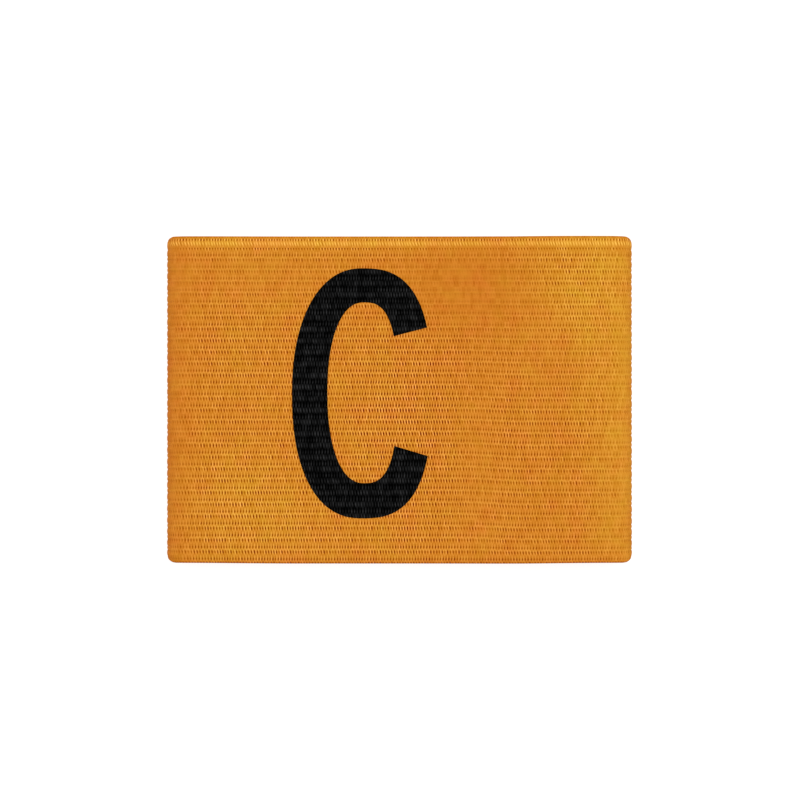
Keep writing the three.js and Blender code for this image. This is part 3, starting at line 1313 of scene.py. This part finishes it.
@dataclass
class CaptainLetter:
    """The printed letter: an oval ring, open on the right.

    Attributes:
        path, ribs, sway: how the webbing under it runs, its ribs and how they stray.
        left, bottom, top: the letter's edges.
        oval_width: the whole oval's width.
        finish: the ink.
        outer, inner: the edges of the stroke.
        proud, sunk: how far the ink stands above the webbing, and how far it reaches into it.
        relief_share: how much of the valleys' depth shows through it.
        steps: how many steps each edge has.
        crease: the angle from which its edges stay sharp, in degrees.
    """

    path: LoopPath
    ribs: Ribs
    sway: Sway
    left: float
    bottom: float
    top: float
    finish: InkFinish = field(default_factory=InkFinish)
    oval_width: float = 30.0 * MM
    outer: Oval = Oval(
        middle=(0.05 * MM, 0.02 * MM),
        back=14.95 * MM,
        front=14.98 * MM,
        tall=26.73 * MM,
        powers=(2.19, 2.32, 2.71),
        mouth=(24.8, 23.1),
    )
    inner: Oval = Oval(
        middle=(0.48 * MM, 0.14 * MM),
        back=7.79 * MM,
        front=7.15 * MM,
        tall=19.32 * MM,
        powers=(2.24, 2.24, 2.78),
        mouth=(31.4, 28.6),
    )
    proud: float = 0.06 * MM
    sunk: float = 0.06 * MM
    relief_share: float = 0.75
    steps: int = 96
    crease: float = 50.0

    def cutter(self) -> bpy.types.Object:
        """The letter's outline as a tall prism, made from a circle that is reshaped and extruded.

        Returns:
            The prism, on the straight webbing. The sway brings the letter to its place.
        """
        middle = self.left + self.oval_width / 2, (self.top + self.bottom) / 2
        edges = [self.outer.points(self.steps), self.inner.points(self.steps)[::-1]]
        outline = np.concatenate(edges) + np.array(middle)
        outline[:, 1] -= self.sway.up(outline[:, 0], outline[:, 1])
        clear_selection()
        bpy.ops.mesh.primitive_circle_add(vertices=len(outline), radius=1, fill_type="NGON")
        prism = bpy.context.object
        tall = 10 * MM
        move_to(prism, np.column_stack([outline, np.full(len(outline), -tall / 2)]))
        bpy.ops.object.mode_set(mode="EDIT")
        bpy.ops.mesh.select_all(action="SELECT")
        bpy.ops.mesh.extrude_region_move(TRANSFORM_OT_translate={"value": (0, 0, tall)})
        bpy.ops.mesh.select_all(action="SELECT")
        bpy.ops.mesh.normals_make_consistent(inside=False)
        bpy.ops.object.mode_set(mode="OBJECT")
        return prism

    def build(self) -> None:
        """Makes the letter."""
        upper = self.path.upper_layer(UPPER_STEPS)
        rows, _ = self.ribs.table()
        right = self.left + self.oval_width
        spare = 2 * self.ribs.pitch
        columns = upper.x[(upper.x > self.left - spare) & (upper.x < right + spare)]
        rows = rows[(rows > self.bottom - spare) & (rows < self.top + spare)]
        film = flat_slab("captain_letter", columns, rows, MM)
        prism = self.cutter()
        apply(film, "BOOLEAN", object=prism, operation="INTERSECT", solver="EXACT")
        bpy.data.objects.remove(prism)
        flat = places_of(film)
        x, across, upside = flat[:, 0], flat[:, 1], flat[:, 2] > 0
        strip = self.path.strip()
        before = len(strip.x) - 1 - LAP_STEPS - UNDER_STEPS - FOLD_STEPS - UPPER_STEPS
        start = strip.along()[before]
        map_strip(film, start + x + self.path.fold_x, across)
        middle = np.interp(x, upper.x, upper.z) - self.ribs.curled(across)
        ink = self.ribs.half_thickness(across, self.relief_share) + self.proud
        under = self.ribs.half_thickness(across) - self.sunk
        z = middle + np.where(upside, ink, under) + self.path.rise(x, across)
        move_to(film, np.column_stack([x, across + self.sway.up(x, across), z]))
        smooth(film, self.crease)
        film.data.materials.clear()
        film.data.materials.append(self.finish.material(self.ribs))
        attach(film, ROOT)
        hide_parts("printed_letter")
        log.info("letter: %d faces", len(film.data.polygons))


@dataclass(frozen=True)
class ThreadFinish:
    """Smooth sewing thread of the webbing's colour.

    Attributes:
        colour, shade: its colour, and what that is multiplied by between two plies.
        shade_share: how much of the shade shows.
        ply, lean, relief: how wide a ply is, how far it leans and how high it stands in mm.
        matt: how matt it is.
    """

    colour: Colour = (0.62, 0.23, 0.03, 1.0)
    shade: float = 0.6
    shade_share: float = 0.8
    ply: float = 0.25 * MM
    lean: float = 0.5
    relief: float = -0.05
    matt: Matt = Matt(0.6, 0.2)

    def material(self) -> bpy.types.Material:
        """Makes the material.

        Returns:
            The material.
        """
        bench = Bench("orange_thread")
        place = bench.add("ShaderNodeTexCoord", {}, "Object")
        x = bench.add("ShaderNodeSeparateXYZ", {"Vector": place}, "X")
        ply = ((x + x.output("Y") * self.lean) / self.ply).wave()
        shade = tuple(self.shade * part for part in self.colour[:3]) + (1.0,)
        colour = bench.blend(ply * self.shade_share, self.colour, shade)
        return bench.finish(colour, self.matt, ply * self.relief)


@dataclass
class SeamStitches:
    """Two rows of lockstitch through the lap, seen underneath and inside the loop.

    Attributes:
        webbing: the strip that they hold.
        finish: the thread.
        length, radius, gap: a stitch's length, the thread's radius and the gap to the next.
        margin, clear: from a selvedge to the first stitch, and from the floor to a stitch.
        blunt, dive: how blunt a stitch's ends are, and how steeply they dive in.
        rings, sides: how many rings and sides of faces a stitch has.
    """

    webbing: Webbing
    finish: ThreadFinish = field(default_factory=ThreadFinish)
    length: float = 2.1 * MM
    radius: float = 0.17 * MM
    gap: float = 0.4 * MM
    margin: float = 1.6 * MM
    clear: float = 0.02 * MM
    blunt: int = 6
    dive: int = 4
    rings: int = 12
    sides: int = 10

    def one_row(self, x: float, z: float, up: int) -> bpy.types.Object:
        """A row of stitches across the band.

        Args:
            x: where the row lies.
            z: the height of the thread's middle.
            up: 1 where the row shows from above, and -1 from below.

        Returns:
            The row.
        """
        clear_selection()
        bpy.ops.mesh.primitive_uv_sphere_add(segments=self.sides, ring_count=self.rings, radius=1)
        row = bpy.context.object
        bpy.ops.object.mode_set(mode="EDIT")
        bpy.ops.mesh.select_all(action="SELECT")
        turned = {"orient_type": "GLOBAL", "center_override": (0, 0, 0)}
        bpy.ops.transform.rotate(value=math.pi / 2, orient_axis="X", **turned)
        bpy.ops.object.mode_set(mode="OBJECT")
        places = places_of(row)
        full = np.abs(places[:, 1:2])
        tiny = 1e-9
        ball = np.sqrt(np.clip(1 - full**2, tiny, 1))
        places[:, [0, 2]] *= self.radius * np.sqrt(1 - full**self.blunt) / ball
        places[:, 1] *= self.length / 2
        places[:, 2] -= up * self.radius * full[:, 0] ** self.dive
        half_width = self.webbing.path.half_width
        places += (x, self.margin + self.length / 2 - half_width, z)
        move_to(row, places)
        step = self.length + self.gap
        count = int((2 * half_width - 2 * self.margin) / step)
        apply(
            row,
            "ARRAY",
            count=count,
            use_relative_offset=False,
            use_constant_offset=True,
            constant_offset_displace=(0, step, 0),
        )
        return row

    def build(self) -> None:
        """Makes the stitches, all the rows as one piece."""
        path = self.webbing.path
        below = self.radius + self.clear
        above = path.lap_z + path.web / 2 - self.radius
        rows = []
        for seam in self.webbing.seams():
            rows.append(self.one_row(seam, below, -1))
            rows.append(self.one_row(seam, above, 1))
        clear_selection()
        for row in rows:
            row.select_set(True)
        bpy.context.view_layer.objects.active = rows[0]
        bpy.ops.object.join()
        stitches = rows[0]
        stitches.name = stitches.data.name = "seam_stitches"
        smooth(stitches)
        stitches.data.materials.append(self.finish.material())
        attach(stitches, ROOT)
        log.info("stitches: %d faces", len(stitches.data.polygons))


@dataclass
class Studio:
    """A pale floor, soft light and a camera straight above.

    Attributes:
        view_width, aim_height: how wide the view is, and at which height.
        lens, sensor: the camera's focal length and its sensor's width, in millimetres.
        middle: what the camera looks straight down on.
        floor_size, floor_grey, floor_matt: the floor's side, its colour and how matt it is.
        floor_glow, room_light: how strongly the floor shines, and the light all round.
        softbox, softbox_size, softbox_power: its place, its side and its power in watts.
    """

    view_width: float = 171.1 * MM
    lens: float = 180.0
    sensor: float = 36.0
    aim_height: float = 8.0 * MM
    middle: tuple[float, float] = (0.1 * MM, 0.0)
    floor_size: float = 6.0
    floor_grey: Colour = (0.35, 0.35, 0.35, 1.0)
    floor_matt: Matt = Matt(0.9, 0.0)
    floor_glow: float = 0.80
    room_light: float = 0.80
    softbox: tuple[float, float, float] = (0.15, 0.25, 0.9)
    softbox_size: float = 0.5
    softbox_power: float = 3.0

    def floor(self) -> None:
        """Makes the floor, a plain pale sheet."""
        clear_selection()
        bpy.ops.mesh.primitive_plane_add(size=self.floor_size)
        floor = bpy.context.object
        floor.name = "studio_floor"
        bench = Bench("pale_floor")
        material = bench.finish(self.floor_grey, self.floor_matt, glow=self.floor_glow)
        floor.data.materials.append(material)

    def light(self) -> None:
        """Makes the soft light all round and the softbox at the upper right."""
        world = bpy.data.worlds.new("soft_room")
        world.use_nodes = True
        background = world.node_tree.nodes["Background"]
        background.inputs["Color"].default_value = (1.0, 1.0, 1.0, 1.0)
        background.inputs["Strength"].default_value = self.room_light
        bpy.context.scene.world = world
        lamp = bpy.data.lights.new("softbox", "AREA")
        lamp.shape = "SQUARE"
        lamp.size = self.softbox_size
        lamp.energy = self.softbox_power
        softbox = bpy.data.objects.new("softbox", lamp)
        softbox.location = self.softbox
        softbox.rotation_euler = softbox.location.to_track_quat("Z", "Y").to_euler()
        bpy.context.scene.collection.objects.link(softbox)

    def camera(self) -> None:
        """Makes the camera."""
        data = bpy.data.cameras.new("camera")
        data.lens = self.lens
        data.sensor_width = self.sensor
        camera = bpy.data.objects.new("camera", data)
        distance = self.view_width * self.lens / self.sensor
        camera.location = (*self.middle, self.aim_height + distance)
        bpy.context.scene.collection.objects.link(camera)
        bpy.context.scene.camera = camera

    def build(self) -> None:
        """Makes the floor, the lights and the camera, and sets the plain view transform."""
        self.floor()
        self.light()
        self.camera()
        bpy.context.scene.view_settings.view_transform = "Standard"
        log.info("studio: ready")


def main() -> None:
    """Builds the armband round the frame, in order."""
    logging.basicConfig(level=logging.INFO, format="%(message)s")
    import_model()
    Studio().build()
    low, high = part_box("band")
    letter_low, letter_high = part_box("printed_letter")
    half_width = (high.y - low.y) / 2
    path = LoopPath(length=high.x - low.x, half_width=half_width)
    ribs = Ribs(half_width=half_width)
    sway = Sway(half_width)
    webbing = Webbing(path, ribs, sway)
    webbing.build()
    letter = CaptainLetter(path, ribs, sway, letter_low.x, letter_low.y, letter_high.y)
    letter.build()
    SeamStitches(webbing).build()


if __name__ == "__main__":
    main()
